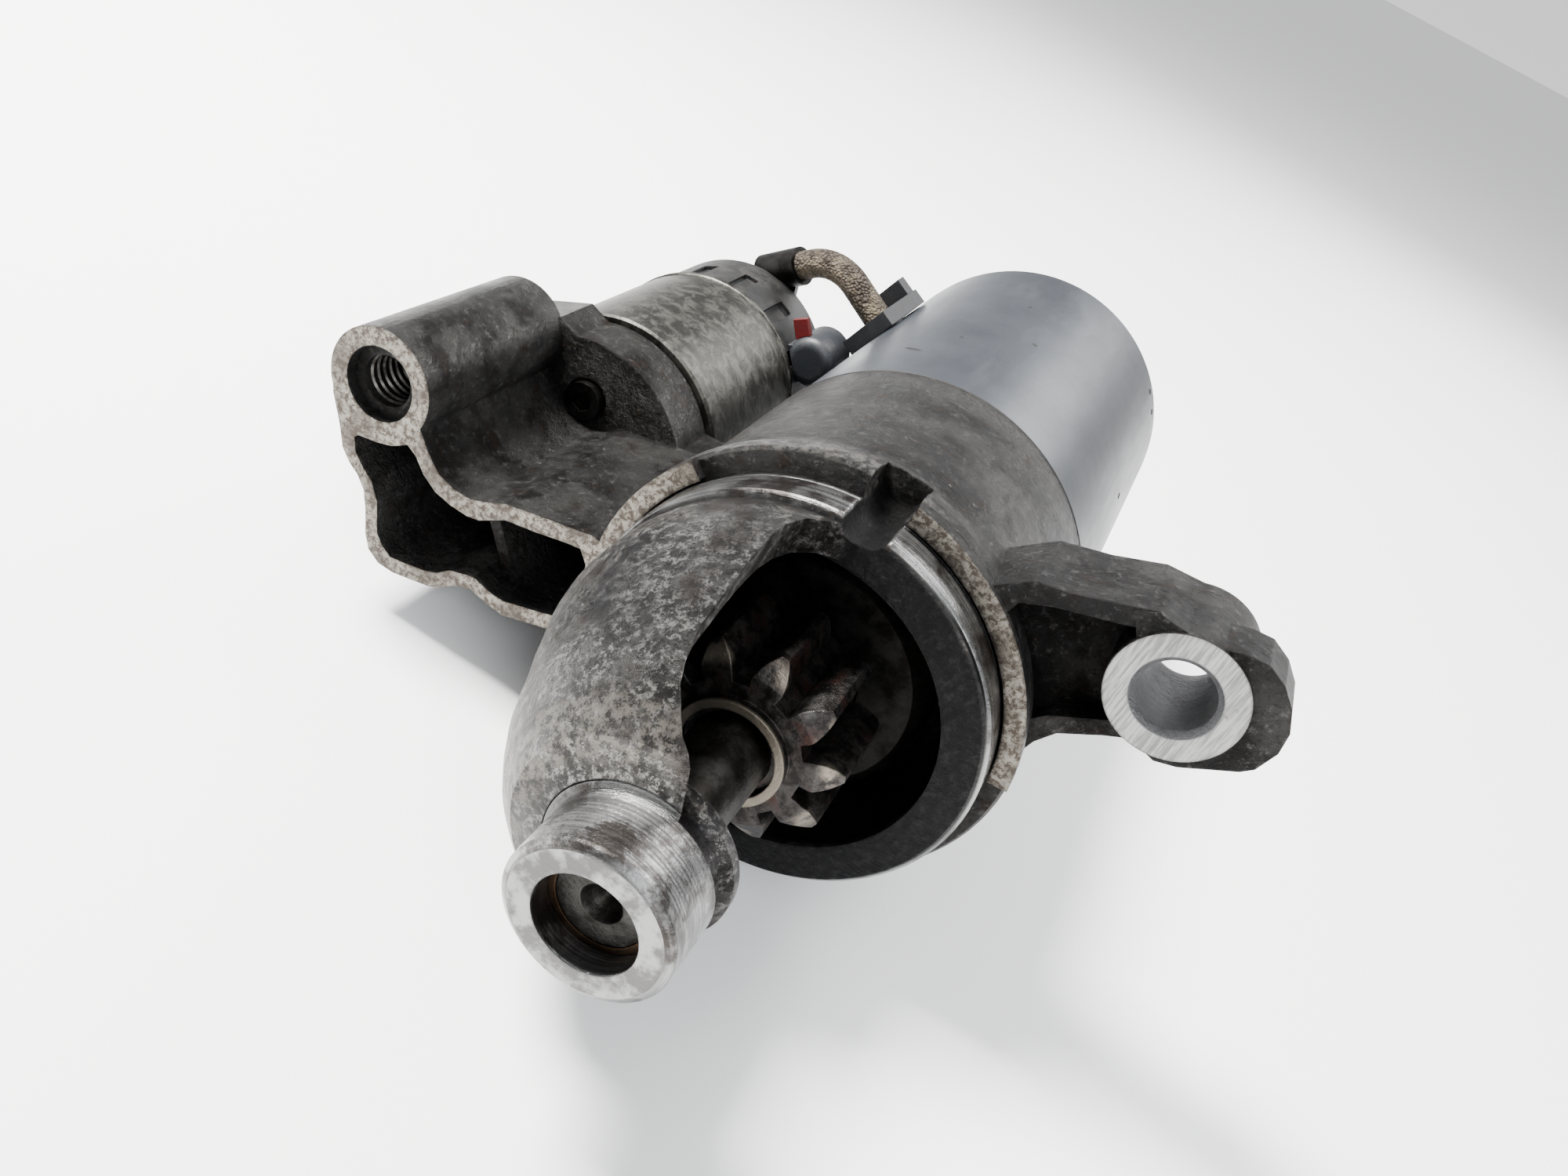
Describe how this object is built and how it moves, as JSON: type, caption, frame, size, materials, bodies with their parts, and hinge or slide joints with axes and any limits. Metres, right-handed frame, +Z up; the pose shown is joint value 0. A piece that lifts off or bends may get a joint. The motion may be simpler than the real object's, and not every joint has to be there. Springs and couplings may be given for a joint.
{
  "type": "starter motor",
  "caption": "Geared automotive starter motor with cast nose housing, exposed pinion, flange lugs, side solenoid and long cylindrical yoke.",
  "frame": {"origin": "centre of the round pilot register, in the plane of the flange's machined mounting face", "axes": "-Y along the motor axis towards the nose, +Z up as the motor lies on a bench on its yoke and solenoid, +X towards the lug with the plain bolt hole"},
  "size_m": [0.1748, 0.2448, 0.0924],
  "materials": {
    "cast_aluminium": "rough sand cast with machined faces",
    "bronze": "sintered",
    "dark_steel": "oiled",
    "shaft_steel": "ground",
    "gear_steel": "ground",
    "machined_aluminium": "machined",
    "plate_steel": "rolled",
    "pinion_steel": "worn and oily",
    "lever_plastic": "moulded",
    "lamination_steel": "stacked laminations",
    "copper_wire": "enamelled",
    "copper_bar": "turned",
    "yoke_paint": "satin",
    "ferrite": "matt",
    "brush_carbon": "matt",
    "spring_steel": "drawn",
    "zinc_steel": "zinc plated",
    "zinc_case": "zinc plated, mottled",
    "bobbin_plastic": "moulded",
    "cap_plastic": "moulded",
    "boot_rubber": "matt",
    "red_seal": "matt",
    "sleeve_braid": "woven sleeve",
    "lug_metal": "dark tinned",
    "grommet_rubber": "matt"
  },
  "bodies": {
    "frame": {"drive_end_housing": "cast_aluminium", "nose_bush": "bronze", "bracket_plug_screw": "dark_steel", "ring_gear": "gear_steel", "intermediate_bearing_plate": "machined_aluminium", "intermediate_bush": "bronze", "gear_cover_plate": "plate_steel", "lever_pivot_pin": "shaft_steel", "yoke_tube": "yoke_paint", "field_magnets": "ferrite", "brush_holder": "plate_steel", "brushes": "brush_carbon", "brush_springs": "spring_steel", "commutator_end_shield": "yoke_paint", "rear_bush": "bronze", "through_bolts": "zinc_steel", "solenoid_case": "zinc_case", "solenoid_front_plate": "dark_steel", "solenoid_screws": "zinc_steel", "solenoid_bobbin": "bobbin_plastic", "solenoid_coil": "copper_wire", "solenoid_core": "plate_steel", "plunger_return_spring": "spring_steel", "solenoid_cap": "cap_plastic", "motor_terminal_stud": "copper_bar", "battery_terminal_stud": "copper_bar", "terminal_nuts": "zinc_steel", "control_terminal_boot": "boot_rubber", "control_terminal_seal": "red_seal", "field_lead": "sleeve_braid", "lead_lug": "lug_metal", "lead_grommet": "grommet_rubber"},
    "armature": {"armature_shaft": "shaft_steel", "armature_core": "lamination_steel", "armature_winding": "copper_wire", "commutator": "copper_bar", "sun_gear": "gear_steel"},
    "output": {"output_shaft": "shaft_steel", "planet_pins": "shaft_steel"},
    "planet_1": {"planet_gear_1": "gear_steel"},
    "planet_2": {"planet_gear_2": "gear_steel"},
    "planet_3": {"planet_gear_3": "gear_steel"},
    "drive": {"clutch_shell": "dark_steel", "clutch_rollers": "shaft_steel", "shift_collar": "dark_steel"},
    "pinion": {"pinion": "pinion_steel"},
    "lever": {"shift_lever": "lever_plastic"},
    "plunger": {"solenoid_plunger": "shaft_steel"},
    "contact": {"contact_rod": "spring_steel", "contact_disc": "copper_bar"}
  },
  "joints": [
    {"name": "armature_spin", "type": "hinge", "parent": "frame", "child": "armature", "pos_m": [0, 0.1, 0], "axis": [0, 1, 0], "continuous": true},
    {"name": "output_spin", "type": "hinge", "parent": "frame", "child": "output", "pos_m": [0, 0, 0], "axis": [0, 1, 0], "continuous": true},
    {"name": "planet_1_spin", "type": "hinge", "parent": "output", "child": "planet_1", "pos_m": [0.01538, 0.0585, 0.01073], "axis": [0, 1, 0], "continuous": true},
    {"name": "planet_2_spin", "type": "hinge", "parent": "output", "child": "planet_2", "pos_m": [-0.01698, 0.0585, 0.00795], "axis": [0, 1, 0], "continuous": true},
    {"name": "planet_3_spin", "type": "hinge", "parent": "output", "child": "planet_3", "pos_m": [0.0016, 0.0585, -0.01868], "axis": [0, 1, 0], "continuous": true},
    {"name": "plunger_pull", "type": "slide", "parent": "frame", "child": "plunger", "axis": [0, 1, 0], "range_m": [0, 0.01], "stiffness_N_per_m": 600, "springref_m": -0.01, "deforming": ["plunger_return_spring"]},
    {"name": "lever_swing", "type": "hinge", "parent": "frame", "child": "lever", "pos_m": [-0.04127, 0.042, -0.00779], "axis": [0.1854, 0, -0.9827], "range_deg": [0, 19.05]},
    {"name": "drive_slide", "type": "slide", "parent": "output", "child": "drive", "axis": [0, -1, 0], "range_m": [0, 0.0139]},
    {"name": "pinion_overrun", "type": "hinge", "parent": "drive", "child": "pinion", "pos_m": [0, -0.01, 0], "axis": [0, -1, 0], "continuous": true},
    {"name": "contact_slide", "type": "slide", "parent": "frame", "child": "contact", "axis": [0, 1, 0], "range_m": [0, 0.0031]}
  ],
  "couplings": [
    {"joint": "output_spin", "follows": "armature_spin", "ratio": 0.2},
    {"joint": "planet_1_spin", "follows": "armature_spin", "ratio": -0.53333},
    {"joint": "planet_2_spin", "follows": "armature_spin", "ratio": -0.53333},
    {"joint": "planet_3_spin", "follows": "armature_spin", "ratio": -0.53333},
    {"joint": "lever_swing", "follows": "plunger_pull", "rad_per_m": 33.161},
    {"joint": "drive_slide", "follows": "plunger_pull", "ratio": 1.384},
    {"joint": "contact_slide", "follows": "plunger_pull", "ratio": 0.3}
  ]
}
